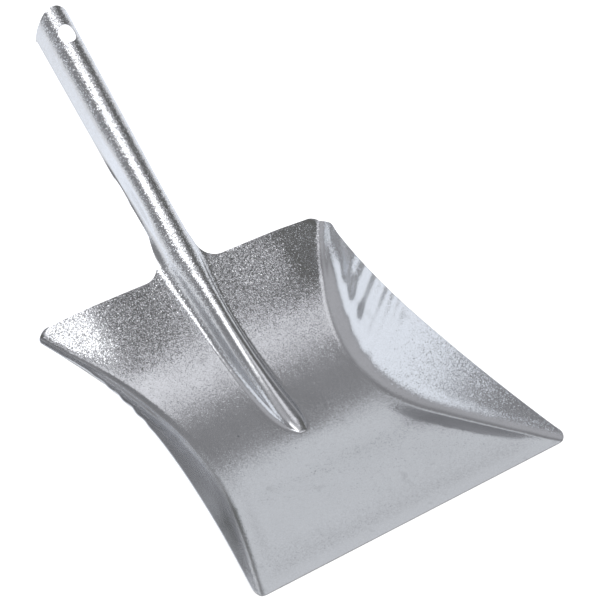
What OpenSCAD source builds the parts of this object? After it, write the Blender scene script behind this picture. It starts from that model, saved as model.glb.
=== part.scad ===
// Hand scoop pressed from one sheet-steel blank: flat floor, raised rear wall, two leaning side
// walls, a stiffening ridge and an open channel handle with a hanging hole.
// Millimetres. +Z up, +Y from the front edge towards the handle, +X to the right.
// Origin: centre of the flat underside that stands on the ground.
// The sheet is laid out as one grid of points. Each node is the patch of sheet of that name, and
// neighbouring patches meet edge to edge.

/* [Sheet] */
// Sheet thickness
sheet_t = 0.7; // [0.5:0.1:1.2]

/* [Pan] */
// Width across the front edge, before its corners are rounded
front_w = 217; // [190:1:250]
// Width at the narrowest part of the rim
waist_w = 180.8; // [165:0.2:188]
// Width across the rear edge, before its corners are rounded
rear_w = 205; // [195:1:215]
// Length of the pan from front edge to rear edge, on the ground
pan_l = 197.8; // [185:0.2:215]
// Length of the flat part of the floor
flat_l = 63.5; // [55:0.5:70]
// Width of the flattened band along the front edge
lip_l = 9; // [9:1:14]
// Radius of the rounded front corners
corner_r = 5; // [4:1:8]

/* [Handle] */
// Angle of the handle above the ground
handle_angle = 40.9; // [35:0.1:45]
// Handle length from the rear edge to its tip
handle_l = 165.8; // [140:0.1:200]
// Height of the channel at its tip, from open edge to crest
channel_h = 13.4; // [11.5:0.1:15]
// Radius of the channel's rounded crest at its tip
crest_r = 11.3; // [9.5:0.1:12]
// Lean of the channel's flanks away from square
flank_lean = 22; // [15:1:30]
// Diameter of the hanging hole
hole_d = 11; // [8:0.5:12]
// Distance from the handle's tip to the hanging hole
hole_from_tip = 17.9; // [14:0.1:20]

/* [Hidden] */
$fn = 64;

// Rim: height and half-width along the pan.
rim_curl = 1.7;
rim_slope = 0.352;
rim_flatten = 2.3;
waist_y = 118.7;
rear_corner_r = 12;
rear_bow = 0.5;
wall_foot = 5;
wall_slope = 1.15;

// Ridge and the root of the handle.
ridge_tip_y = 94;
ridge_waist = 0.72;
flare_y = 152;
foot_r = 4;
root_r = 13;
root_half_w = 13.7;
ridge_edge_w = 18.2;
root_run_l = 11;
neck_l = 45;
neck_scale = 0.915;
tip_l = 14.2;

// Rear sweep: a parabola that starts at the end of the flat floor and reaches the handle's angle.
sweep_k = tan(handle_angle) / (2 * (pan_l - flat_l));
rear_z = sweep_k * pow(pan_l - flat_l, 2);

// Depth of the rear corners' rounding, measured on the ground.
rear_corner_l = rear_corner_r * cos(handle_angle);

// Channel section at the tip, x across and n up from the open edge.
flank_turn = 90 - flank_lean;
crest_centre = channel_h - crest_r;
tangent_x = crest_r * sin(flank_turn);
tangent_n = crest_centre + crest_r * cos(flank_turn);
flank_len = tangent_n / cos(flank_lean);
open_half_w = tangent_x + flank_len * sin(flank_lean);
end_l = hole_from_tip + hole_d / 2 + 5;

// How far the root's fillet has risen where the ridge patch ends.
root_rise = root_r - sqrt(pow(root_r, 2) - pow(root_r + root_half_w - ridge_edge_w, 2));

// Grid layout. Columns count outwards from the crest, rows from the front edge.
crest_cols = 6;
ridge_cols = 11;
floor_cols = 8;
wall_cols = 8;
col_floor = ridge_cols + floor_cols;
col_rim = col_floor + wall_cols;
row_lip = 5;
row_flat = row_lip + 6;
row_tip = row_flat + 4;
row_rear = row_tip + 14;
row_edge = row_rear + 4;
row_neck = row_edge + 12;
row_channel = row_neck + 6;
row_tip_end = row_channel + 4;

function mix(a, b, f) = a + (b - a) * f;
function clamp01(f) = max(0, min(1, f));

// Row positions along the pan: close together round the corners, even in between.
function row_y(i) =
    i < row_lip ? corner_r * (1 - cos(90 * i / (row_lip - 1)))
    : i <= row_flat ? mix(lip_l, flat_l, (i - row_lip) / (row_flat - row_lip))
    : i <= row_tip ? mix(flat_l, ridge_tip_y, (i - row_flat) / (row_tip - row_flat))
    : i <= row_rear ? mix(ridge_tip_y, pan_l - rear_corner_l, (i - row_tip) / (row_rear - row_tip))
    : pan_l - rear_corner_l * (1 - sin(90 * (i - row_rear) / (row_edge - row_rear)));

// Height and slope of the centre line, straight beyond the rear edge.
function sweep_z(y) =
    y < flat_l ? 0
    : y < pan_l ? sweep_k * pow(y - flat_l, 2)
    : rear_z + tan(handle_angle) * (y - pan_l);
function sweep_angle(y) =
    y < flat_l ? 0
    : y < pan_l ? atan(2 * sweep_k * (y - flat_l))
    : handle_angle;

// Rim of the side wall, before and after its corners are rounded.
function rim_z(y) = rim_curl + rim_slope * y - rim_flatten * pow(y / 100, 3);
function rim_x(y) =
    waist_w / 2
    + (y < waist_y
        ? (front_w - waist_w) / 2 * pow(1 - y / waist_y, 1.7)
        : (rear_w - waist_w) / 2 * pow((y - waist_y) / (pan_l - waist_y), 2));
function corner_cut(r, d) = d < r ? r - sqrt(pow(r, 2) - pow(r - max(d, 0), 2)) : 0;
function rounded_rim_x(y) =
    rim_x(y) - corner_cut(corner_r, y)
    - corner_cut(rear_corner_r, (pan_l - y) / cos(handle_angle));

// The side wall leans out from a soft crease.
function crease_x(y) = rim_x(y) - (rim_z(y) - sweep_z(y)) / wall_slope;
function wall_start_x(y) = min(crease_x(y) - wall_foot, rounded_rim_x(y) - 4);
function wall_rise(d) =
    d < -wall_foot ? 0
    : d < wall_foot ? pow(d + wall_foot, 2) / (4 * wall_foot)
    : d;

// Rows bow slightly: the middle of the rear edge stands back, and it turns up into the handle.
function root_turn(x) = corner_cut(root_r, x - root_half_w);
function bowed_y(x, y) =
    let (
        back = clamp01((y - ridge_tip_y) / (pan_l - ridge_tip_y)),
        last = clamp01((y - pan_l + rear_corner_l) / rear_corner_l)
    )
    y - rear_bow * pow(2 * x / rear_w, 2) * pow(back, 2)
    + root_turn(x) * cos(handle_angle) * pow(last, 2);

// Channel section with a filleted foot: length t outwards from the end of the rounded crest.
function foot_tangent(r) = r * tan(flank_turn / 2);
function foot_centre_x(r) = open_half_w + foot_tangent(r);
function foot_point(r, t) =
    let (straight = flank_len - foot_tangent(r), turn = (t - straight) / r * 180 / PI)
    t < straight
        ? [tangent_x + t * sin(flank_lean), tangent_n - t * cos(flank_lean)]
    : turn < flank_turn
        ? [foot_centre_x(r) - r * sin(flank_turn - turn), r - r * cos(flank_turn - turn)]
    : [foot_centre_x(r) + (turn - flank_turn) * PI / 180 * r, 0];
// Length of that path when its outer end stands at half-width b.
function foot_length(r, b) =
    flank_len - foot_tangent(r)
    + (b >= foot_centre_x(r)
        ? r * flank_turn * PI / 180 + b - foot_centre_x(r)
        : r * (flank_turn - asin((foot_centre_x(r) - b) / r)) * PI / 180);
function section_point(j, r, length) =
    j <= crest_cols
        ? [crest_r * sin(flank_turn * j / crest_cols),
           crest_centre + crest_r * cos(flank_turn * j / crest_cols)]
        : foot_point(r, length * (j - crest_cols) / (ridge_cols - crest_cols));

// The same section drawn smaller or larger by g, its outer end at half-width b.
function scaled_section_point(j, r, b, g) =
    g * section_point(j, r / g, foot_length(r / g, b / g));
function taper(s) = mix(neck_scale, 1, clamp01((s - neck_l) / (handle_l - neck_l)));

// The ridge gets lower and narrower towards its rounded tip.
function ridge_height(y) = 1 - pow(clamp01((pan_l - y) / (pan_l - ridge_tip_y)), 2);
function ridge_width(y) =
    let (
        nose = clamp01((max(y, ridge_tip_y) - ridge_tip_y + 1) / 30),
        flare = clamp01((y - flare_y) / (pan_l - flare_y))
    )
    mix(ridge_waist, 1, pow(flare, 3)) * sqrt(1 - pow(1 - nose, 2));
function ridge_point(j, y) =
    let (s = scaled_section_point(j, foot_r, ridge_edge_w, neck_scale))
    [s[0] * ridge_width(y), s[1] * ridge_height(y)];

// A point x across, on the centre line at y and n out from it.
function on_centre_line(x, y, n) =
    [x, y - n * sin(sweep_angle(y)), sweep_z(y) + n * cos(sweep_angle(y))];

function pan_point(j, y) =
    let (edge_x = ridge_edge_w * ridge_width(y), start_x = wall_start_x(y))
    j <= ridge_cols
        ? let (s = ridge_point(j, y)) on_centre_line(s[0], bowed_y(edge_x, y), s[1])
        : let (
            x = j <= col_floor
                ? mix(edge_x, start_x, pow((j - ridge_cols) / floor_cols, 1.6))
                : mix(start_x, rounded_rim_x(y), (j - col_floor) / wall_cols),
            back_y = bowed_y(x, y)
        )
        [x, back_y, sweep_z(back_y) + wall_slope * wall_rise(x - crease_x(y))];

// The neck starts where the ridge ends and runs out into the plain channel.
function neck_point(j, f) =
    let (
        s = mix(root_rise, neck_l, pow(f, 1.5)),
        r = mix(foot_r, 0.4, f),
        plain_w = neck_scale * open_half_w,
        b = s < root_r
            ? root_half_w + corner_cut(root_r, s)
            : mix(root_half_w, plain_w, clamp01((s - root_r) / root_run_l)),
        p = scaled_section_point(j, r, b, neck_scale)
    )
    on_centre_line(p[0], pan_l + s * cos(handle_angle), p[1]);

// The plain channel widens slightly towards its tip.
function channel_point(j, s) =
    let (p = scaled_section_point(j, 0.4, taper(s) * open_half_w, taper(s)))
    on_centre_line(p[0], pan_l + s * cos(handle_angle), p[1]);
function channel_s(i) =
    i < row_channel
        ? mix(neck_l, handle_l - end_l, (i - row_neck) / (row_channel - row_neck))
        : mix(handle_l - end_l, handle_l, (i - row_channel) / (row_tip_end - row_channel));

function half_point(i, j) =
    i <= row_edge ? pan_point(j, row_y(i))
    : i <= row_neck ? neck_point(j, (i - row_edge) / (row_neck - row_edge))
    : channel_point(j, channel_s(i));
function sheet_point(i, c) =
    let (p = half_point(i, abs(c)))
    [c < 0 ? -p[0] : p[0], p[1], p[2]];

// Outer surface of the whole blank, row by row. Beyond the rear edge only the handle goes on.
function last_col(i) = i <= row_edge ? col_rim : ridge_cols;
GRID = [for (i = [0:row_tip_end]) [for (c = [-last_col(i):last_col(i)]) sheet_point(i, c)]];
function at(i, c) = GRID[i][c + last_col(i)];

// Unit normal of the sheet, from the neighbouring grid points.
function sheet_normal(i, c) =
    let (
        ahead = i < row_tip_end && abs(c) <= last_col(i + 1) ? i + 1 : i,
        behind = max(0, i - 1),
        n = cross(at(i, min(c + 1, last_col(i))) - at(i, max(c - 1, -last_col(i))),
                  at(ahead, c) - at(behind, c))
    )
    n / norm(n);

// Solid patch of sheet over the given rows and columns, between the outer and the inner surface.
module patch(rows, cols) {
    nr = len(rows);
    nc = len(cols);
    outer = [for (i = rows) for (c = cols) at(i, c)];
    inner = [for (i = rows) for (c = cols) at(i, c) - sheet_t * sheet_normal(i, c)];
    under = nr * nc;
    faces = [
        for (a = [0:nr - 2]) for (b = [0:nc - 2])
            let (p = a * nc + b, q = p + 1, r = p + nc + 1, s = p + nc)
            each [[p, r, q], [p, s, r],
                  [p + under, q + under, r + under], [p + under, r + under, s + under]],
        for (a = [0:nr - 2])
            let (p = a * nc, q = p + nc, r = p + nc - 1, s = q + nc - 1)
            each [[p, p + under, q + under], [p, q + under, q],
                  [r, s + under, r + under], [r, s, s + under]],
        for (b = [0:nc - 2])
            let (p = b, q = b + 1, r = (nr - 1) * nc + b, s = r + 1)
            each [[p, q + under, p + under], [p, q, q + under],
                  [r, r + under, s + under], [r, s + under, s]]
    ];
    translate([0, -flat_l / 2, sheet_t])
        polyhedron(concat(outer, inner), faces);
}

// Rows ahead of the ridge need no columns for it.
function columns(from, to) = [for (c = [from:to]) c];
plain_columns = concat(columns(-col_floor, -ridge_cols), columns(ridge_cols, col_floor));

// Flat part of the floor between two rows, ending where the side walls begin.
module flat_band(from, to) {
    right = [for (i = [from:to]) [wall_start_x(row_y(i)), row_y(i)]];
    left = [for (i = [to:-1:from]) [-wall_start_x(row_y(i)), row_y(i)]];
    translate([0, -flat_l / 2, 0])
        linear_extrude(height = sheet_t)
            polygon(concat(right, left));
}

function handle_origin(s) =
    [0, pan_l + s * cos(handle_angle) - flat_l / 2, rear_z + s * sin(handle_angle) + sheet_t];

module on_handle(s) {
    translate(handle_origin(s))
        rotate([handle_angle, 0, 0])
            children();
}

module front_lip() {
    color([0.74, 0.76, 0.80])
        flat_band(0, row_lip);
}

module pan_floor() {
    color([0.66, 0.68, 0.72])
        flat_band(row_lip, row_flat);
}

// Start of the rear sweep, up to the tip of the ridge.
module floor_sweep() {
    color([0.68, 0.70, 0.74])
        patch([for (i = [row_flat:row_tip]) i], plain_columns);
}

module rear_wall_left() {
    color([0.70, 0.72, 0.76])
        patch([for (i = [row_tip:row_edge]) i], columns(-col_floor, -ridge_cols));
}

module rear_wall_right() {
    color([0.70, 0.72, 0.76])
        patch([for (i = [row_tip:row_edge]) i], columns(ridge_cols, col_floor));
}

module side_wall_left() {
    color([0.78, 0.80, 0.84])
        patch([for (i = [0:row_edge]) i], columns(-col_rim, -col_floor));
}

module side_wall_right() {
    color([0.78, 0.80, 0.84])
        patch([for (i = [0:row_edge]) i], columns(col_floor, col_rim));
}

module stiffening_ridge() {
    color([0.82, 0.84, 0.88])
        patch([for (i = [row_tip:row_edge]) i], columns(-ridge_cols, ridge_cols));
}

module handle_neck() {
    color([0.80, 0.82, 0.86])
        patch([for (i = [row_edge:row_neck]) i], columns(-ridge_cols, ridge_cols));
}

module handle_channel() {
    color([0.82, 0.84, 0.88])
        patch([for (i = [row_neck:row_channel]) i], columns(-ridge_cols, ridge_cols));
}

// Outline of the rounded tip, looking square onto the crest.
module tip_outline() {
    half_w = open_half_w + 0.1;
    polygon(concat([[-half_w, -end_l], [half_w, -end_l]],
                   [for (a = [0:10:180]) [half_w * cos(a), tip_l * sin(a)]]));
}

// Rounded tip with the hanging hole punched square through the crest.
module handle_end() {
    color([0.80, 0.82, 0.86])
        difference() {
            intersection() {
                patch([for (i = [row_channel:row_tip_end]) i], columns(-ridge_cols, ridge_cols));
                on_handle(handle_l - tip_l)
                    translate([0, 0, -5])
                        linear_extrude(height = channel_h + 10)
                            tip_outline();
            }
            on_handle(handle_l - hole_from_tip)
                cylinder(h = channel_h + 5, d = hole_d);
        }
}

front_lip();
pan_floor();
floor_sweep();
rear_wall_left();
rear_wall_right();
side_wall_left();
side_wall_right();
stiffening_ridge();
handle_neck();
handle_channel();
handle_end();
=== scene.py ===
"""Looks of the pressed sheet-steel hand scoop: one zinc-plated blank with press marks and raw edges."""

import math

import bpy
import numpy as np
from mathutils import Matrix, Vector


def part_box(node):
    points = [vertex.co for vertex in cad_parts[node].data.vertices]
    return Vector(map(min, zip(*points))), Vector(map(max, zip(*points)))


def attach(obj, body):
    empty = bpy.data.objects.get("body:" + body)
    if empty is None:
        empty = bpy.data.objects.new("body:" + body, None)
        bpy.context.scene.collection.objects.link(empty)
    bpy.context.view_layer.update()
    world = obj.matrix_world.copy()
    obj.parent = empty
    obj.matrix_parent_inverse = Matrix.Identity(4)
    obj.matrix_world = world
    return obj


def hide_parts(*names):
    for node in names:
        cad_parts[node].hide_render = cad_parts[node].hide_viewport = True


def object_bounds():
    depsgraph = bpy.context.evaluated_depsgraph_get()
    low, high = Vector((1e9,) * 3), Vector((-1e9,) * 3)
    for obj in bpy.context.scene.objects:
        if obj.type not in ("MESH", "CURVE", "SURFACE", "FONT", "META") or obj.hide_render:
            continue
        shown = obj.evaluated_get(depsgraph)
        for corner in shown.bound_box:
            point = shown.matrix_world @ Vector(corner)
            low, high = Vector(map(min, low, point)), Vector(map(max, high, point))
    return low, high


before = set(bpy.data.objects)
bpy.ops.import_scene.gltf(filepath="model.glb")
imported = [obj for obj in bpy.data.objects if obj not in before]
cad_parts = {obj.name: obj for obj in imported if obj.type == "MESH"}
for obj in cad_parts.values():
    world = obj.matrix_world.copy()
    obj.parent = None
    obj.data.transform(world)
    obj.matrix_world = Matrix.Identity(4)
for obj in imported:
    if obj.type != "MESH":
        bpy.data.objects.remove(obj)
CAD_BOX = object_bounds()

MM = 0.001

# Dimensions in millimetres, the same as the CAD's: sheet, pan and handle.
SHEET_T = 0.7
FRONT_W = 217.0
WAIST_W = 180.8
REAR_W = 205.0
PAN_L = 197.8
FLAT_L = 63.5
LIP_L = 9.0
CORNER_R = 5.0
REAR_CORNER_R = 12.0
HANDLE_ANGLE = math.radians(40.9)
HANDLE_L = 165.8
CHANNEL_H = 13.4
CREST_R = 11.3
FLANK_LEAN = math.radians(22.0)
HOLE_D = 11.0
HOLE_FROM_TIP = 17.9
TIP_L = 14.2

# Rim and side wall, as in the CAD.
RIM_CURL = 1.7
RIM_SLOPE = 0.352
RIM_FLATTEN = 2.3
RIM_SWEEP_IN = 1.7
WAIST_Y = 118.7
REAR_BOW = 0.5
WALL_SLOPE = 1.15

# Ridge and root of the handle, as in the CAD.
RIDGE_TIP_Y = 94.0
RIDGE_WAIST = 0.72
FLARE_Y = 152.0
ROOT_R = 13.0
ROOT_HALF_W = 13.7
RIDGE_EDGE_W = 18.2
ROOT_RUN_L = 11.0
NECK_L = 45.0
NECK_SCALE = 0.915
HANDLE_FOOT_R = 0.4

# From here on the visual mesh has softer bends than the CAD. Half-width of the side wall's crease at
# the front and at the rear, and how soon it gets there; radius of the hollow foot of the ridge and of
# the neck, and where it starts to grow and to shrink.
WALL_FOOT = (5.0, 9.0)
WALL_FOOT_L = 150.0
FOOT_R = 7.0
FOOT_GROWS_Y = 130.0
NECK_FOOT_R = 8.0
NECK_FOOT_S = 14.0
NECK_FOOT_END = 74.0

# The ridge's blunt nose: its height as a share of the whole, and its length from the side and in plan.
NOSE_SHARE = 0.13
NOSE_L = 9.0
NOSE_PLAN_L = 20.0

# The floor stands above the front lip, and above its own edges.
LIP_DROP = 0.3
CROWN = 1.1
CROWN_REACH = 13.0

# The rear wall stands proud on both sides of the ridge and its corners fall back.
REAR_PROUD = 1.0
REAR_FALL_X = 60.0
REAR_FALL_W = 12.0
REAR_FALL_SLOPE = 0.2

# Small pressing folds across the side walls: where along the rim, how far apart, how deep, how far
# down, and how much further forward per millimetre down. Broad dents lie between them.
PLEAT_FROM = 100.5
PLEAT_PEAK = 124.0
PLEAT_TO = 180.0
PLEAT_PITCH = 11.5
PLEAT_DEPTH = 0.4
PLEAT_REACH = 38.0
PLEAT_DRIFT = 0.3
DENT_PITCH = 2.3 * PLEAT_PITCH
DENT_DEPTH = 0.12
DENT_PHASE = 0.8

# The channel's flanks are pressed in on both sides of the neck, above a narrow lip; the side walls
# are hollowed behind the waist; a faint bead runs along each crease; the floor sinks at the nose.
NECK_HOLLOW = 1.3
NECK_LIP = 1.5
HOLLOW_TOP = 9.5
WALL_HOLLOW = 0.6
WALL_HOLLOW_W = 17.0
BEAD = 0.14
BEAD_HALF_W = 1.5
NOSE_DIMPLE = 0.35

# Where the marks begin or end, each with the length over which it fades in or out. Y is measured
# from the front edge, S along the handle from the rear edge.
REAR_SWELL_X = (20, 40)
REAR_SWELL_Y = (158, 26)
REAR_EDGE_Y = (PAN_L - 20, 20)
REAR_EDGE_SHARE = 0.8
CROWN_FROM_Y = (4, 26)
CROWN_TO_Y = (100, 48)
BEAD_FROM_Y = (70, 60)
WALL_HOLLOW_FROM_Y = (112, 30)
WALL_HOLLOW_TO_Y = (PAN_L - 4, 20)
NECK_HOLLOW_FROM_S = (14, 18)
NECK_HOLLOW_TO_S = (88, 50)
LIP_STEP_FROM_Y = (LIP_L - 6, 14)
LIP_STEP_TO_Y = (RIDGE_TIP_Y, 60)
WAVES_FROM_Y = (0, 20)
WAVES_TO_Y = (PAN_L - 6, 12)

# The raw edge is cut square, with both its corners eased by this much, down to these shares of the
# thickness.
EDGE_PULL = 0.12
EDGE_SHARES = (0.25, 0.75)
SHARP_ANGLE = math.radians(38)

FRONT_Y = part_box("front_lip")[0].y / MM

SWEEP_K = math.tan(HANDLE_ANGLE) / (2 * (PAN_L - FLAT_L))
REAR_Z = SWEEP_K * (PAN_L - FLAT_L) ** 2
FLANK_TURN = math.pi / 2 - FLANK_LEAN
CREST_CENTRE = CHANNEL_H - CREST_R
TANGENT_X = CREST_R * math.sin(FLANK_TURN)
TANGENT_N = CREST_CENTRE + CREST_R * math.cos(FLANK_TURN)
FLANK_LEN = TANGENT_N / math.cos(FLANK_LEAN)
OPEN_HALF_W = TANGENT_X + FLANK_LEN * math.sin(FLANK_LEAN)
TIP_HALF_W = OPEN_HALF_W + 0.1
REAR_CORNER_L = REAR_CORNER_R * math.cos(HANDLE_ANGLE)
ROOT_RISE = ROOT_R - math.sqrt(ROOT_R ** 2 - (ROOT_R + ROOT_HALF_W - RIDGE_EDGE_W) ** 2)

# Mesh density: columns from the crest outwards, rows from the front edge back.
CREST_COLS = 20
FOOT_COLS = 16
FLOOR_COLS = 56
WALL_COLS = 44
RIDGE_COLS = CREST_COLS + FOOT_COLS
FRONT_CORNER_ROWS = 10
FLOOR_ROWS = 72
SWEEP_ROWS = 90
REAR_CORNER_ROWS = 16
NECK_ROWS = 48
CHANNEL_ROWS = 90
HOLE_ROWS = 16
TIP_ROWS = 16

# Above 1, the floor's columns crowd towards the ridge and the neck's rows towards its root.
FLOOR_CROWDING = 1.3
NECK_CROWDING = 1.2

# The hole takes a square block of the handle's grid; the points round it are drawn onto a circle.
HOLE_S = HANDLE_L - HOLE_FROM_TIP
HOLE_COL = 10
HOLE_HALF_X = CREST_R * math.sin(FLANK_TURN * HOLE_COL / CREST_COLS)
HOLE_HALF_S = 5.5
HOLE_REACH = 1.6


def mix(a, b, f):
    return a + (b - a) * f


def clamp01(f):
    return np.clip(f, 0.0, 1.0)


def smooth(f):
    """Soft 0 to 1 ramp."""
    f = clamp01(f)
    return f * f * (3 - 2 * f)


def fade_in(v, start, length):
    """0 up to start, then a soft rise to 1 over the length."""
    return smooth((v - start) / length)


def fade_out(v, end, length):
    """1 until the length before the end, then a soft fall to 0 at the end."""
    return smooth((end - v) / length)


def corner_cut(r, d):
    """How far a rounded corner of radius r pulls the edge in, a distance d from the corner."""
    return r - np.sqrt(r ** 2 - (r - np.clip(d, 0, r)) ** 2)


# ---------------------------------------------------------------- shape of the blank

def sweep_z(y):
    """Height of the centre line: a parabola behind the flat floor, straight beyond the rear edge."""
    curved = SWEEP_K * np.clip(y - FLAT_L, 0, None) ** 2
    straight = REAR_Z + math.tan(HANDLE_ANGLE) * (y - PAN_L)
    return np.where(y < PAN_L, curved, straight)


def sweep_angle(y):
    slope = 2 * SWEEP_K * np.clip(np.minimum(y, PAN_L) - FLAT_L, 0, None)
    return np.arctan(slope)


def rim_z(y):
    """Height of the side wall's rim along the pan."""
    return RIM_CURL + RIM_SLOPE * y - RIM_FLATTEN * (y / 100) ** 3


def rim_x(y):
    """Half-width of the rim before its corners are rounded; it is least at the waist."""
    front = (FRONT_W - WAIST_W) / 2 * np.clip(1 - y / WAIST_Y, 0, None) ** RIM_SWEEP_IN
    rear = (REAR_W - WAIST_W) / 2 * ((y - WAIST_Y) / (PAN_L - WAIST_Y)) ** 2
    return WAIST_W / 2 + np.where(y < WAIST_Y, front, rear)


def rounded_rim_x(y):
    to_rear = (PAN_L - y) / math.cos(HANDLE_ANGLE)
    return rim_x(y) - corner_cut(CORNER_R, y) - corner_cut(REAR_CORNER_R, to_rear)


def crease_x(y):
    """Half-width at which the side wall would meet the floor in a sharp corner."""
    return rim_x(y) - (rim_z(y) - sweep_z(y)) / WALL_SLOPE


def wall_foot(y):
    """Half-width of the soft crease, which opens out towards the rear."""
    return mix(WALL_FOOT[0], WALL_FOOT[1], fade_in(y, 0, WALL_FOOT_L))


def wall_start_x(y):
    """Half-width at which the side wall begins to lift off the floor."""
    return np.minimum(crease_x(y) - wall_foot(y), rounded_rim_x(y) - 4)


def wall_rise(d, foot):
    """Height of the leaning wall a distance d outside the crease, with a soft foot."""
    soft = (d + foot) ** 2 / (4 * foot)
    return WALL_SLOPE * np.where(d < -foot, 0, np.where(d < foot, soft, d))


def bowed_y(x, y):
    """Rows bow back in the middle of the rear edge and turn up into the handle's root."""
    back = clamp01((y - RIDGE_TIP_Y) / (PAN_L - RIDGE_TIP_Y))
    last = clamp01((y - PAN_L + REAR_CORNER_L) / REAR_CORNER_L)
    turn = corner_cut(ROOT_R, x - ROOT_HALF_W)
    return y - REAR_BOW * (2 * x / REAR_W) ** 2 * back ** 2 + turn * math.cos(HANDLE_ANGLE) * last ** 2


def foot_tangent(r):
    return r * math.tan(FLANK_TURN / 2)


def foot_centre_x(r):
    return OPEN_HALF_W + foot_tangent(r)


def foot_length(r, b):
    """Length of flank and foot from the rounded crest out to half-width b."""
    centre = foot_centre_x(r)
    if b >= centre:
        turned = r * FLANK_TURN + b - centre
    else:
        turned = r * (FLANK_TURN - math.asin((centre - b) / r))
    return FLANK_LEN - foot_tangent(r) + turned


def plain_section(r, b):
    """Half the channel section, x across and n up, from the crest down flank and foot to half-width b."""
    turn = FLANK_TURN * np.arange(CREST_COLS + 1) / CREST_COLS
    crest = np.stack([CREST_R * np.sin(turn), CREST_CENTRE + CREST_R * np.cos(turn)], 1)
    t = foot_length(r, b) * np.arange(1, FOOT_COLS + 1) / FOOT_COLS
    straight = FLANK_LEN - foot_tangent(r)
    angle = (t - straight) / r
    centre = foot_centre_x(r)
    on_flank = np.stack([TANGENT_X + t * math.sin(FLANK_LEAN), TANGENT_N - t * math.cos(FLANK_LEAN)], 1)
    left_to_turn = np.clip(FLANK_TURN - angle, 0, None)
    on_foot = np.stack([centre - r * np.sin(left_to_turn), r - r * np.cos(left_to_turn)], 1)
    on_flat = np.stack([centre + (angle - FLANK_TURN) * r, np.zeros_like(t)], 1)
    outer = np.where((angle < FLANK_TURN)[:, None], on_foot, on_flat)
    path = np.where((angle < 0)[:, None], on_flank, outer)
    return np.concatenate([crest, path])


def section(r, b, scale):
    """The same section drawn smaller; its foot radius and outer half-width stay as given."""
    return scale * plain_section(r / scale, b / scale)


def taper(s):
    """The channel widens slightly from the neck to the tip."""
    return mix(NECK_SCALE, 1.0, float(clamp01((s - NECK_L) / (HANDLE_L - NECK_L))))


def rounded_start(f):
    """Quarter of a circle from 0 to 1."""
    return math.sqrt(1 - (1 - clamp01(f)) ** 2)


def ridge_height(y):
    to_rear = clamp01((PAN_L - y) / (PAN_L - RIDGE_TIP_Y))
    long_rise = 1 - (1 - NOSE_SHARE) * to_rear ** 2
    return long_rise * rounded_start((y - RIDGE_TIP_Y) / NOSE_L)


def ridge_width(y):
    flare = clamp01((y - FLARE_Y) / (PAN_L - FLARE_Y))
    nose = rounded_start((max(y, RIDGE_TIP_Y) - RIDGE_TIP_Y + 1) / NOSE_PLAN_L)
    return mix(RIDGE_WAIST, 1, flare ** 3) * nose


def on_centre_line(x, y, n):
    """The point x across, on the centre line at y and n out from it."""
    angle = sweep_angle(y)
    return np.stack([x, y - n * np.sin(angle), sweep_z(y) + n * np.cos(angle)], -1)


def pan_row(y):
    """One row of points across half the pan, from the crest to the rim."""
    width = ridge_width(y)
    edge = RIDGE_EDGE_W * width
    start = float(wall_start_x(y))
    rim = float(rounded_rim_x(y))
    profile = section(ridge_foot(y), RIDGE_EDGE_W, NECK_SCALE)
    back_y = np.full(len(profile), float(bowed_y(edge, y)))
    ridge = on_centre_line(profile[:, 0] * width, back_y, profile[:, 1] * ridge_height(y))
    f = np.arange(1, FLOOR_COLS + 1) / FLOOR_COLS
    w = np.arange(1, WALL_COLS + 1) / WALL_COLS
    x = np.concatenate([mix(edge, start, f ** FLOOR_CROWDING), mix(start, rim, w)])
    y_here = bowed_y(x, y)
    z = sweep_z(y_here) + wall_rise(x - crease_x(y), wall_foot(y))
    return np.concatenate([ridge, np.stack([x, y_here, z], 1)])


def ridge_foot(y):
    """Radius of the hollow foot of the ridge: tight at its tip, wide at the rear edge."""
    return mix(FOOT_R, NECK_FOOT_R, float(fade_in(y, FOOT_GROWS_Y, PAN_L - FOOT_GROWS_Y)))


def neck_foot(s):
    """The same foot beyond the rear edge: wide at the root, gone along the handle."""
    return mix(NECK_FOOT_R, HANDLE_FOOT_R, float(fade_in(s, NECK_FOOT_S, NECK_FOOT_END - NECK_FOOT_S)))


def neck_row(s):
    """One row across half the neck, a distance s beyond the rear edge."""
    r = neck_foot(s - ROOT_RISE)
    if s < ROOT_R:
        b = ROOT_HALF_W + float(corner_cut(ROOT_R, s))
    else:
        b = mix(ROOT_HALF_W, NECK_SCALE * OPEN_HALF_W, float(clamp01((s - ROOT_R) / ROOT_RUN_L)))
    p = section(r, b, NECK_SCALE)
    return on_centre_line(p[:, 0], np.full(len(p), PAN_L + s * math.cos(HANDLE_ANGLE)), p[:, 1])


def tip_limit(x):
    """Distance along the handle of its rounded end, x off the crest."""
    return HANDLE_L - TIP_L * (1 - np.sqrt(1 - np.clip(x / TIP_HALF_W, 0, 1) ** 2))


def handle_row(s):
    """One row across half the plain channel; the last rows crowd into the rounded end."""
    p = section(neck_foot(s - ROOT_RISE), taper(s) * OPEN_HALF_W, taper(s))
    x, n = p[:, 0], p[:, 1]
    along = np.full(len(x), float(s))
    if s > HOLE_S + HOLE_HALF_S:
        f = (s - HOLE_S - HOLE_HALF_S) / (HANDLE_L - HOLE_S - HOLE_HALF_S)
        along = mix(HOLE_S + HOLE_HALF_S, tip_limit(x), f)
    x, along = round_hole(x, along)
    r = taper(s) * CREST_R
    on_crest = taper(s) * CREST_CENTRE + np.sqrt(np.clip(r ** 2 - x ** 2, 0, None))
    n = np.where(np.arange(len(x)) <= CREST_COLS, on_crest, n)
    return on_centre_line(x, PAN_L + along * math.cos(HANDLE_ANGLE), n)


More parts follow.
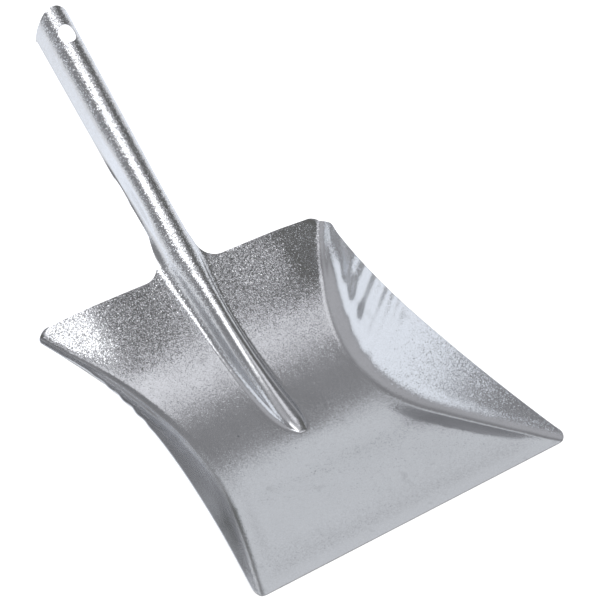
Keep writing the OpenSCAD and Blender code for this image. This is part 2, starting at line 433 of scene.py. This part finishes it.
def round_hole(x, s):
    """Draws the grid round the hole from squares onto circles; further off it stays as it is."""
    u = x / HOLE_HALF_X
    v = (s - HOLE_S) / HOLE_HALF_S
    ring = np.maximum(np.abs(u), np.abs(v))
    length = np.maximum(np.hypot(u, v), 1e-9)
    share = np.where(ring < 1, 1.0, smooth((HOLE_REACH - ring) / (HOLE_REACH - 1)))
    r = HOLE_D / 2 * ring
    return mix(x, r * u / length, share), mix(s, HOLE_S + r * v / length, share)


def spread(a, b, n):
    """n steps from a, not including it, to b."""
    return list(a + (b - a) * (np.arange(n) + 1) / n)


def pan_stations():
    """Distances of the pan's rows from the front edge, closer together round the corners."""
    quarter = math.pi / 2
    steps = np.arange(FRONT_CORNER_ROWS + 1) / FRONT_CORNER_ROWS
    front = list(CORNER_R * (1 - np.cos(quarter * steps)))
    floor = spread(CORNER_R, RIDGE_TIP_Y, FLOOR_ROWS)
    sweep = spread(RIDGE_TIP_Y, PAN_L - REAR_CORNER_L, SWEEP_ROWS)
    turns = np.sin(quarter * np.array(spread(0, 1, REAR_CORNER_ROWS)))
    rear = list(PAN_L - REAR_CORNER_L * (1 - turns))
    return front + floor + sweep + rear


def handle_stations():
    """Distances of the handle's rows beyond the rear edge: neck, plain channel, hole, tip."""
    neck = [mix(ROOT_RISE, NECK_L, f ** NECK_CROWDING) for f in spread(0, 1, NECK_ROWS)]
    plain = spread(NECK_L, HOLE_S - HOLE_HALF_S, CHANNEL_ROWS)
    through = spread(HOLE_S - HOLE_HALF_S, HOLE_S + HOLE_HALF_S, HOLE_ROWS)
    tip = spread(HOLE_S + HOLE_HALF_S, HANDLE_L, TIP_ROWS)
    return neck, plain, through, tip


def mirrored(half):
    """A whole row from its right half: left rim, crest, right rim."""
    left = half[:0:-1] * np.array([-1, 1, 1])
    return np.concatenate([left, half])


def blank_points():
    """All rows of the sheet's outer surface, and which handle rows and columns the hole removes."""
    pan = [mirrored(pan_row(y)) for y in pan_stations()]
    neck, plain, through, tip = handle_stations()
    handle = [mirrored(neck_row(s)) for s in neck]
    handle += [mirrored(handle_row(s)) for s in plain + through + tip]
    first = len(neck) + len(plain) - 1
    return np.array(pan), np.array(handle), (first, first + len(through))


# ---------------------------------------------------------------- press marks

def past_wall_start(x, y):
    """How far outside the start of the side wall; the handle counts as the pan's rear edge."""
    return x - wall_start_x(np.minimum(y, PAN_L))


def past_crease(x, y):
    return x - crease_x(np.minimum(y, PAN_L))


def below_rim(x, y):
    return rounded_rim_x(np.minimum(y, PAN_L)) - x


def height_above(points):
    """Height over the swept floor, square to it."""
    y = points[:, 1]
    return (points[:, 2] - sweep_z(y)) * np.cos(sweep_angle(y))


def pleats(x, y):
    """Folds that start at the rim, drift forward on the way down and fade into the wall."""
    down = np.clip(below_rim(x, y), 0, None)
    along = y + PLEAT_DRIFT * down
    rising = fade_in(along, PLEAT_FROM, PLEAT_PEAK - PLEAT_FROM)
    falling = fade_out(along, PLEAT_TO, PLEAT_TO - PLEAT_PEAK)
    folds = np.sin(2 * math.pi * (along - PLEAT_FROM) / PLEAT_PITCH)
    dents = np.sin(2 * math.pi * (along - PLEAT_FROM) / DENT_PITCH + DENT_PHASE)
    share = clamp01(down / PLEAT_REACH)
    near_rim = (1 - share) ** 2
    part_way = np.sin(math.pi * share) ** 2
    return rising * falling * (PLEAT_DEPTH * folds * near_rim + DENT_DEPTH * dents * part_way)


def waviness(x, y):
    """The slight unevenness of hand-fed sheet, in waves of roughly 200 and 100 mm."""
    long_wave = np.sin(x / 31 + 1.3) * np.sin(y / 27 + 0.4)
    short_wave = np.sin(x / 17 + y / 23 + 2.1) * np.sin(y / 15 - x / 40)
    return 0.14 * long_wave + 0.06 * short_wave


def nose_dimple(x, y):
    """Where the ridge's tip was struck, the floor in front of it sinks a little."""
    return -NOSE_DIMPLE * np.exp(-((x / 15) ** 2 + ((y - RIDGE_TIP_Y + 4) / 9) ** 2))


def rear_bulge(x, y):
    """The rear wall swells towards its corners, then falls back at them."""
    swell = REAR_PROUD * fade_in(x, *REAR_SWELL_X)
    d = np.clip(x - REAR_FALL_X, 0, None)
    fall = REAR_FALL_SLOPE * np.where(d < REAR_FALL_W, d ** 2 / (2 * REAR_FALL_W), d - REAR_FALL_W / 2)
    less_at_edge = mix(1.0, REAR_EDGE_SHARE, fade_in(y, *REAR_EDGE_Y))
    return (swell - fall) * fade_in(y, *REAR_SWELL_Y) * less_at_edge


def floor_crown(x, y):
    """The floor stands a little above its own edges, so a shallow groove runs along each wall's foot."""
    inside = smooth((1 - past_wall_start(x, y)) / CROWN_REACH)
    return CROWN * inside * fade_in(y, *CROWN_FROM_Y) * fade_out(y, *CROWN_TO_Y)


def crease_bead(x, y):
    """A faint raised line along the crease, strongest beside the rear wall."""
    off = (past_crease(x, y) + 1.5) / BEAD_HALF_W
    return BEAD * np.exp(-off ** 2) * fade_in(y, *BEAD_FROM_Y)


def wall_hollow(x, y):
    """Shallow hollow along the foot of the side wall, between the waist and the rear wall."""
    up = clamp01((past_crease(x, y) + 3) / WALL_HOLLOW_W)
    along = fade_in(y, *WALL_HOLLOW_FROM_Y) * fade_out(y, *WALL_HOLLOW_TO_Y)
    return -WALL_HOLLOW * along * np.sin(math.pi * up) ** 2


def neck_hollow(y, height):
    """Long hollow pressed into the channel's flank, deepest just beyond the rear edge."""
    s = (y - PAN_L) / math.cos(HANDLE_ANGLE)
    along = fade_in(s, *NECK_HOLLOW_FROM_S) * fade_out(s, *NECK_HOLLOW_TO_S)
    across = fade_in(height, 0, NECK_LIP) * fade_out(height, HOLLOW_TOP, HOLLOW_TOP - NECK_LIP)
    return -NECK_HOLLOW * along * across


def lip_step(y):
    """The floor stands a hair above the flattened front lip, up to the ridge."""
    return LIP_DROP * fade_in(y, *LIP_STEP_FROM_Y) * fade_out(y, *LIP_STEP_TO_Y)


def press_marks(points, normals):
    """Moves the pan's surface along its normals by the marks of pressing."""
    x, y = np.abs(points[:, 0]), points[:, 1]
    on_floor = 1 - smooth(past_wall_start(x, y) / 12)
    off_wall = 1 - smooth(past_wall_start(x, y) / 16)
    inside = fade_in(y, *WAVES_FROM_Y) * fade_out(y, *WAVES_TO_Y)
    marks = pleats(x, y) + crease_bead(x, y) + floor_crown(x, y) + wall_hollow(x, y)
    marks += inside * mix(1.0, 0.3, on_floor) * waviness(points[:, 0], y)
    marks += off_wall * rear_bulge(x, y)
    marks += on_floor * (nose_dimple(x, y) + lip_step(y))
    marks += neck_hollow(y, height_above(points))
    return points + marks[:, None] * normals


# ---------------------------------------------------------------- mesh of the sheet

def blank_faces(pan_rows, pan_cols, handle_rows, hole_rows):
    """Quads over the pan grid and over the handle grid, which grows out of the pan's middle columns."""
    def pan_id(i, c):
        return i * pan_cols + c

    middle = pan_cols // 2
    handle_cols = 2 * RIDGE_COLS + 1
    base = pan_rows * pan_cols

    def handle_id(i, c):
        if i < 0:
            return pan_id(pan_rows - 1, middle - RIDGE_COLS + c)
        return base + i * handle_cols + c

    def quad(point_id, i, c):
        return point_id(i, c), point_id(i, c + 1), point_id(i + 1, c + 1), point_id(i + 1, c)

    def in_hole(i, c):
        return abs(c + 0.5 - RIDGE_COLS) < HOLE_COL and hole_rows[0] <= i < hole_rows[1]

    faces = [quad(pan_id, i, c) for i in range(pan_rows - 1) for c in range(pan_cols - 1)]
    for i in range(-1, handle_rows - 1):
        faces += [quad(handle_id, i, c) for c in range(handle_cols - 1) if not in_hole(i, c)]
    return np.array(faces)


def vertex_normals(points, faces):
    """Unit normals of the surface at its points, from the quads around each."""
    a = points[faces[:, 2]] - points[faces[:, 0]]
    b = points[faces[:, 3]] - points[faces[:, 1]]
    across = np.cross(a, b)
    normals = np.zeros_like(points)
    for k in range(4):
        np.add.at(normals, faces[:, k], across)
    length = np.linalg.norm(normals, axis=1, keepdims=True)
    return normals / np.maximum(length, 1e-12)


def open_edges(faces):
    """Directed edges used by one face only: the blank's outline and the hole's edge."""
    edges = np.concatenate([faces[:, [k, (k + 1) % 4]] for k in range(4)])
    key = np.sort(edges, axis=1)
    _, index, count = np.unique(key, axis=0, return_index=True, return_counts=True)
    return edges[index[count == 1]]


def drop_unused(points, faces):
    """Leaves out the points inside the hole, which no quad uses."""
    used = np.unique(faces)
    renumber = np.full(len(points), -1)
    renumber[used] = np.arange(len(used))
    return points[used], renumber[faces]


def sheet_solid(points, faces, thickness, pull):
    """Closed sheet: outer skin, inner skin, and between them a raw edge with both corners eased."""
    normals = vertex_normals(points, faces)
    count = len(points)
    edges = open_edges(faces)
    outward = np.zeros_like(points)
    for a, b in ((0, 1), (1, 0)):
        side = np.cross(points[edges[:, 1]] - points[edges[:, 0]], normals[edges[:, a]])
        np.add.at(outward, edges[:, a], side)
    rim = np.unique(edges)
    away = outward[rim] / np.linalg.norm(outward[rim], axis=1, keepdims=True)
    outline = points[rim].copy()
    points = points.copy()
    points[rim] -= pull * away
    rings = [outline - share * thickness * normals[rim] for share in EDGE_SHARES]
    upper_id, lower_id = np.zeros(count, int), np.zeros(count, int)
    upper_id[rim] = 2 * count + np.arange(len(rim))
    lower_id[rim] = upper_id[rim] + len(rim)
    p, q = edges[:, 0], edges[:, 1]
    bands = [
        np.stack([q, p, upper_id[p], upper_id[q]], 1),
        np.stack([upper_id[q], upper_id[p], lower_id[p], lower_id[q]], 1),
        np.stack([lower_id[q], lower_id[p], p + count, q + count], 1),
    ]
    inner = points - thickness * normals
    all_faces = np.concatenate([faces, faces[:, ::-1] + count] + bands)
    return np.concatenate([points, inner] + rings), all_faces


def new_mesh_object(name, points, faces):
    mesh = bpy.data.meshes.new(name)
    mesh.from_pydata(points.tolist(), [], faces.tolist())
    mesh.update()
    mesh.validate()
    mesh.shade_smooth()
    mesh.set_sharp_from_angle(angle=SHARP_ANGLE)
    obj = bpy.data.objects.new(name, mesh)
    bpy.context.scene.collection.objects.link(obj)
    return obj


def grain_map(points):
    """How coarse the zinc's grain is at each point: 0 smooth and worn, 1 coarse."""
    x, y = np.abs(points[:, 0]), points[:, 1]
    height = height_above(points)
    lip = mix(0.15, 1.0, fade_in(y, LIP_L - 4, 6))
    floor = 0.85 * mix(0.25, 1.0, fade_in(y, 150, 38)) * lip
    middle_of_wall = 0.14 + 0.18 * fade_in(y, 70, 20) * fade_out(y, 125, 20)
    near_rim = 0.3 * smooth((16 - below_rim(x, y)) / 14)
    wall = np.maximum(middle_of_wall, near_rim)
    pan = mix(floor, wall, smooth((past_wall_start(x, y) + 2) / 6))
    ridge = mix(0.15, 0.8, fade_in(y, 150, 35))
    on_ridge = fade_in(height, 0.5, 2) * (y > RIDGE_TIP_Y) * fade_out(x, 26, 6)
    pan = mix(pan, ridge, on_ridge)
    handle = mix(0.12, 0.75, fade_in(height, 6, 4))
    return mix(pan, handle, fade_in(y, PAN_L, 8))


def pressed_sheet():
    """The whole scoop as one closed mesh, in metres and in the CAD's frame."""
    pan, handle, hole_rows = blank_points()
    faces = blank_faces(pan.shape[0], pan.shape[1], handle.shape[0], hole_rows)
    points = np.concatenate([pan.reshape(-1, 3), handle.reshape(-1, 3)])
    points, faces = drop_unused(points, faces)
    points = press_marks(points, vertex_normals(points, faces))
    points, faces = sheet_solid(points, faces, SHEET_T, EDGE_PULL)
    grain = grain_map(points)
    points = (points + np.array([0, FRONT_Y, SHEET_T])) * MM
    points = np.clip(points, CAD_BOX[0], CAD_BOX[1])
    sheet = new_mesh_object("pressed_sheet", points, faces)
    sheet.data.attributes.new("grain", "FLOAT", "POINT").data.foreach_set("value", grain)
    return sheet


# ---------------------------------------------------------------- material

class Nodes:
    """Short calls for building one node tree."""

    def __init__(self, tree):
        self.tree = tree

    def add(self, kind, **settings):
        node = self.tree.nodes.new(kind)
        for name, value in settings.items():
            setattr(node, name, value)
        return node

    def feed(self, socket, value):
        if isinstance(value, bpy.types.NodeSocket):
            self.tree.links.new(value, socket)
        else:
            socket.default_value = value

    def math(self, operation, a, b):
        node = self.add("ShaderNodeMath", operation=operation)
        self.feed(node.inputs[0], a)
        self.feed(node.inputs[1], b)
        return node.outputs[0]

    def vector(self, operation, a, b=None, scale=None):
        node = self.add("ShaderNodeVectorMath", operation=operation)
        self.feed(node.inputs[0], a)
        if b is not None:
            self.feed(node.inputs[1], b)
        if scale is not None:
            self.feed(node.inputs["Scale"], scale)
        return node.outputs["Value" if operation in ("DOT_PRODUCT", "LENGTH") else "Vector"]

    def ramp(self, value, low, high, to_low=0.0, to_high=1.0):
        """Soft step from to_low, where the value is low, to to_high."""
        node = self.add("ShaderNodeMapRange", interpolation_type="SMOOTHSTEP")
        for name, v in zip(("Value", "From Min", "From Max", "To Min", "To Max"),
                           (value, low, high, to_low, to_high)):
            self.feed(node.inputs[name], v)
        return node.outputs["Result"]

    def noise(self, where, scale, detail=2.0, roughness=0.5):
        node = self.add("ShaderNodeTexNoise")
        self.feed(node.inputs["Vector"], where)
        self.feed(node.inputs["Scale"], scale)
        self.feed(node.inputs["Detail"], detail)
        self.feed(node.inputs["Roughness"], roughness)
        return node.outputs["Fac"]

    def cells(self, where, scale):
        """Distance to the middle of the nearest cell, and that cell's own random colour."""
        node = self.add("ShaderNodeTexVoronoi")
        self.feed(node.inputs["Vector"], where)
        self.feed(node.inputs["Scale"], scale)
        return node.outputs["Distance"], node.outputs["Color"]

    def blend(self, share, a, b):
        node = self.add("ShaderNodeMix", data_type="RGBA")
        self.feed(node.inputs["Factor"], share)
        self.feed(node.inputs["A"], a)
        self.feed(node.inputs["B"], b)
        return node.outputs["Result"]


# Tones of the plating, and sizes of its features in cells or waves per metre.
ZINC_DARK = (0.68, 0.69, 0.705, 1)
ZINC_LIGHT = (0.84, 0.85, 0.87, 1)
SMUDGE_TONE = (0.64, 0.65, 0.66, 1)
SPECK_TONE = (0.34, 0.35, 0.36, 1)
CRYSTALS = 2200
SPECKS = 130
FINE_BUMPS = 700
SMUDGES = 95
CLOUDS = 38

# Tilt of an average crystal where the grain is coarse, and the extra tilt of the odd ones out.
CRYSTAL_TILT = 0.13
ODD_TILT = 0.8


def zinc_material():
    """Metal whose crystals are each tilted a little at random, more so where the grain is coarse."""
    material = bpy.data.materials.new("zinc_plate")
    material.use_nodes = True
    n = Nodes(material.node_tree)
    shader = material.node_tree.nodes["Principled BSDF"]
    where = n.add("ShaderNodeTexCoord").outputs["Object"]
    grain = n.add("ShaderNodeAttribute", attribute_name="grain").outputs["Fac"]

    _, crystal = n.cells(where, CRYSTALS)
    centred = n.vector("SUBTRACT", crystal, (0.5, 0.5, 0.5))
    odd = n.math("MULTIPLY", n.vector("DOT_PRODUCT", centred, centred), ODD_TILT)
    tilt = n.vector("SCALE", centred, scale=n.math("MULTIPLY", n.math("ADD", odd, CRYSTAL_TILT), grain))
    bump = n.add("ShaderNodeBump")
    n.feed(bump.inputs["Strength"], 0.3)
    n.feed(bump.inputs["Distance"], 0.00004)
    n.feed(bump.inputs["Height"], n.noise(where, FINE_BUMPS, 3))
    n.feed(shader.inputs["Normal"], n.vector("NORMALIZE", n.vector("ADD", bump.outputs["Normal"], tilt)))

    cloud = n.noise(where, CLOUDS, 4, 0.6)
    smudge = n.ramp(n.noise(where, SMUDGES, 3), 0.62, 0.74)
    distance, pick = n.cells(where, SPECKS)
    speck = n.math("MULTIPLY", n.ramp(distance, 0.13, 0.07), n.math("GREATER_THAN", pick, 0.86))
    rough = n.ramp(cloud, 0.3, 0.7, 0.14, 0.2)
    rough = n.math("ADD", rough, n.math("MULTIPLY", smudge, 0.05))
    n.feed(shader.inputs["Roughness"], rough)

    shine = n.math("ADD", n.math("MULTIPLY", cloud, 0.5), n.math("MULTIPLY", crystal, 0.5))
    plain = n.blend(shine, ZINC_DARK, ZINC_LIGHT)
    dulled = n.blend(n.math("MULTIPLY", smudge, 0.3), plain, SMUDGE_TONE)
    spotted = n.blend(n.math("MULTIPLY", speck, 0.6), dulled, SPECK_TONE)
    n.feed(shader.inputs["Base Color"], spotted)
    shader.inputs["Metallic"].default_value = 1.0
    return material


# ---------------------------------------------------------------- stage

# The floor is white to the eye; the metal mirrors it with a painted shade round the scoop, darker there,
# and bright further out. From below it is clear, so the underside can be looked at. Metres.
FLOOR_SIZE = 18
FLOOR_BELOW = 0.0002
FLOOR_GLOW = 0.75
# Painted shade: the dark glow the metal sees in the floor close round the scoop.
FLOOR_PAINTED_SHADE = (0.34, 0.34, 0.335, 1)
FLOOR_FAR = (1.02, 1.06, 1.14, 1)
FLOOR_FADE = (0.03, 0.55)


def floor_material():
    material = bpy.data.materials.new("floor_white")
    material.use_nodes = True
    n = Nodes(material.node_tree)
    shader = material.node_tree.nodes["Principled BSDF"]
    shader.inputs["Base Color"].default_value = (0.9, 0.9, 0.9, 1)
    shader.inputs["Roughness"].default_value = 0.9
    shader.inputs["Emission Color"].default_value = (1, 1, 1, 1)
    shader.inputs["Emission Strength"].default_value = FLOOR_GLOW
    away = n.vector("LENGTH", n.add("ShaderNodeTexCoord").outputs["Object"])
    # What the metal sees: a glow with a painted shade round the scoop, fading to bright further out.
    mirrored_floor_painted_shade = n.add("ShaderNodeEmission")
    n.feed(mirrored_floor_painted_shade.inputs["Color"], n.blend(n.ramp(away, *FLOOR_FADE), FLOOR_PAINTED_SHADE, FLOOR_FAR))
    seen = n.add("ShaderNodeMixShader")
    n.feed(seen.inputs["Fac"], n.add("ShaderNodeLightPath").outputs["Is Camera Ray"])
    n.feed(seen.inputs[1], mirrored_floor_painted_shade.outputs["Emission"])
    n.feed(seen.inputs[2], shader.outputs["BSDF"])
    open_below = n.add("ShaderNodeMixShader")
    n.feed(open_below.inputs["Fac"], n.add("ShaderNodeNewGeometry").outputs["Backfacing"])
    n.feed(open_below.inputs[1], seen.outputs["Shader"])
    n.feed(open_below.inputs[2], n.add("ShaderNodeBsdfTransparent").outputs["BSDF"])
    n.feed(material.node_tree.nodes["Material Output"].inputs["Surface"], open_below.outputs["Shader"])
    return material


def add_floor():
    bpy.ops.mesh.primitive_plane_add(size=FLOOR_SIZE, location=(0, 0, -FLOOR_BELOW))
    floor = bpy.context.object
    floor.name = "floor"
    floor.data.materials.append(floor_material())


# The studio: bright walls low down all round, which fade between two heights given as sines, and
# are darker above. Then soft lights and shades, each with a bearing clockwise from +Y, a height, an
# inner and outer half-angle in degrees, and a colour. Nothing gets darker than the darkest tone.
UPPER_LIGHT = (0.25, 0.25, 0.26)
WALL_LIGHT = (0.62, 0.635, 0.66)
WALL_TOP = (0.14, 0.46)
DARKEST = (0.14, 0.14, 0.135)
SOFT_LIGHTS = {
    "overhead left": (-168, 56, 10, 23, (1.9, 1.9, 1.93)),
    "overhead right": (152, 55, 5, 15, (0.35, 0.35, 0.36)),
    "overhead side": (108, 62, 3, 12, (0.7, 0.7, 0.73)),
    "ceiling": (-90, 84, 8, 26, (0.2, 0.2, 0.21)),
    "back left": (-62, 42, 17, 25, (0.68, 0.72, 0.78)),
    "back": (39, 34, 0, 26, (0.42, 0.435, 0.455)),
    "back strip": (-8, 52, 3, 12, (0.5, 0.5, 0.52)),
    "back low shade": (46, 11, 13, 21, (-0.62, -0.62, -0.65)),
    "right shade": (112, 33, 8, 28, (-0.16, -0.16, -0.16)),
}


def studio_sky(n, direction):
    """Colour of the studio seen in a direction."""
    height = n.vector("DOT_PRODUCT", direction, (0, 0, 1))
    walls = n.vector("SCALE", WALL_LIGHT, scale=n.ramp(height, WALL_TOP[1], WALL_TOP[0]))
    sky = n.vector("ADD", UPPER_LIGHT, walls)
    for bearing, height, inner, outer, colour in SOFT_LIGHTS.values():
        a, e = math.radians(bearing), math.radians(height)
        centre = (math.sin(a) * math.cos(e), math.cos(a) * math.cos(e), math.sin(e))
        facing = n.vector("DOT_PRODUCT", direction, centre)
        share = n.ramp(facing, math.cos(math.radians(outer)), math.cos(math.radians(inner)))
        sky = n.vector("ADD", sky, n.vector("SCALE", colour, scale=share))
    return n.vector("MAXIMUM", sky, DARKEST)


def add_lights():
    world = bpy.data.worlds.new("studio")
    world.use_nodes = True
    n = Nodes(world.node_tree)
    direction = n.add("ShaderNodeTexCoord").outputs["Generated"]
    n.feed(world.node_tree.nodes["Background"].inputs["Color"], studio_sky(n, direction))
    bpy.context.scene.world = world


# Camera: where it looks, from the front edge and in millimetres like the dimensions above; from
# which side, how high and how far; and its lens.
AIM = (88.4, 202.9, -0.4)
AZIMUTH = math.radians(-39.8)
ELEVATION = math.radians(31.8)
DISTANCE = 1478.6
LENS = 150.0


def add_camera():
    data = bpy.data.cameras.new("camera")
    data.sensor_width = 36
    data.lens = LENS
    camera = bpy.data.objects.new("camera", data)
    bpy.context.scene.collection.objects.link(camera)
    bpy.context.scene.camera = camera
    aim = Vector((AIM[0], AIM[1] + FRONT_Y, AIM[2] + SHEET_T)) * MM
    level = math.cos(ELEVATION)
    back = Vector((math.sin(AZIMUTH) * level, -math.cos(AZIMUTH) * level, math.sin(ELEVATION)))
    camera.location = aim + back * DISTANCE * MM
    camera.rotation_euler = (-back).to_track_quat("-Z", "Y").to_euler()
    data.clip_end = 20


bpy.context.scene.view_settings.view_transform = "Standard"
sheet = pressed_sheet()
sheet.data.materials.append(zinc_material())
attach(sheet, "root")
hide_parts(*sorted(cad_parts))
add_floor()
add_lights()
add_camera()
